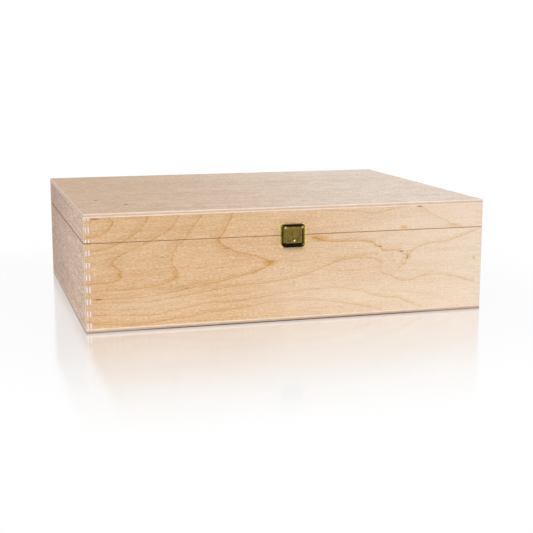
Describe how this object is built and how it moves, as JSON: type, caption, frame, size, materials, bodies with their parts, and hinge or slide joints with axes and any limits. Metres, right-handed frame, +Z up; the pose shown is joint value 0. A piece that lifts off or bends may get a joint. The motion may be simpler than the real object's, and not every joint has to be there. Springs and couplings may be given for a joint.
{
  "type": "wooden wine box",
  "caption": "Flat plywood box with finger-jointed corners, a hinged lid, a sprung front clasp and dividers for bottles lying down.",
  "frame": {"origin": "middle of the underside that rests on the table", "axes": "+X along the front to the right, +Y from the front to the back, +Z up"},
  "size_m": [0.35, 0.2879, 0.0978],
  "materials": {
    "board_wood": "sanded bare birch veneer, honey figure",
    "panel_wood": "sanded bare birch plywood, faint straight grain",
    "divider_wood": "bare birch plywood",
    "hinge_brass": "aged brass plate, rubbed edges",
    "plate_brass": "aged brass plate, rubbed edges",
    "cover_brass": "dark antique brass with patina in the recesses"
  },
  "bodies": {
    "box": {"bottom_panel": "panel_wood", "front_board": "board_wood", "back_board": "board_wood", "left_board": "board_wood", "right_board": "board_wood", "front_divider": "divider_wood", "rear_divider": "divider_wood", "left_hinge_body_leaf": "hinge_brass", "left_hinge_pin": "hinge_brass", "right_hinge_body_leaf": "hinge_brass", "right_hinge_pin": "hinge_brass", "hinge_body_nails": "hinge_brass", "clasp_keeper": "plate_brass", "clasp_keeper_nails": "plate_brass"},
    "lid": {"lid_panel": "panel_wood", "lid_front_rail": "board_wood", "lid_back_rail": "board_wood", "lid_left_rail": "board_wood", "lid_right_rail": "board_wood", "left_hinge_lid_leaf": "hinge_brass", "right_hinge_lid_leaf": "hinge_brass", "hinge_lid_nails": "hinge_brass", "clasp_lid_plate": "plate_brass", "clasp_lid_nails": "plate_brass", "clasp_pin": "plate_brass"},
    "clasp_flap": {"clasp_cover": "cover_brass"}
  },
  "joints": [
    {"name": "lid_hinge", "type": "hinge", "parent": "box", "child": "lid", "pos_m": [0, 0.1419, 0.07365], "axis": [-1, 0, 0], "range_deg": [0, 180]},
    {"name": "clasp_hinge", "type": "hinge", "parent": "lid", "child": "clasp_flap", "pos_m": [0, -0.1423, 0.08135], "axis": [-1, 0, 0], "range_deg": [0, 90]}
  ]
}
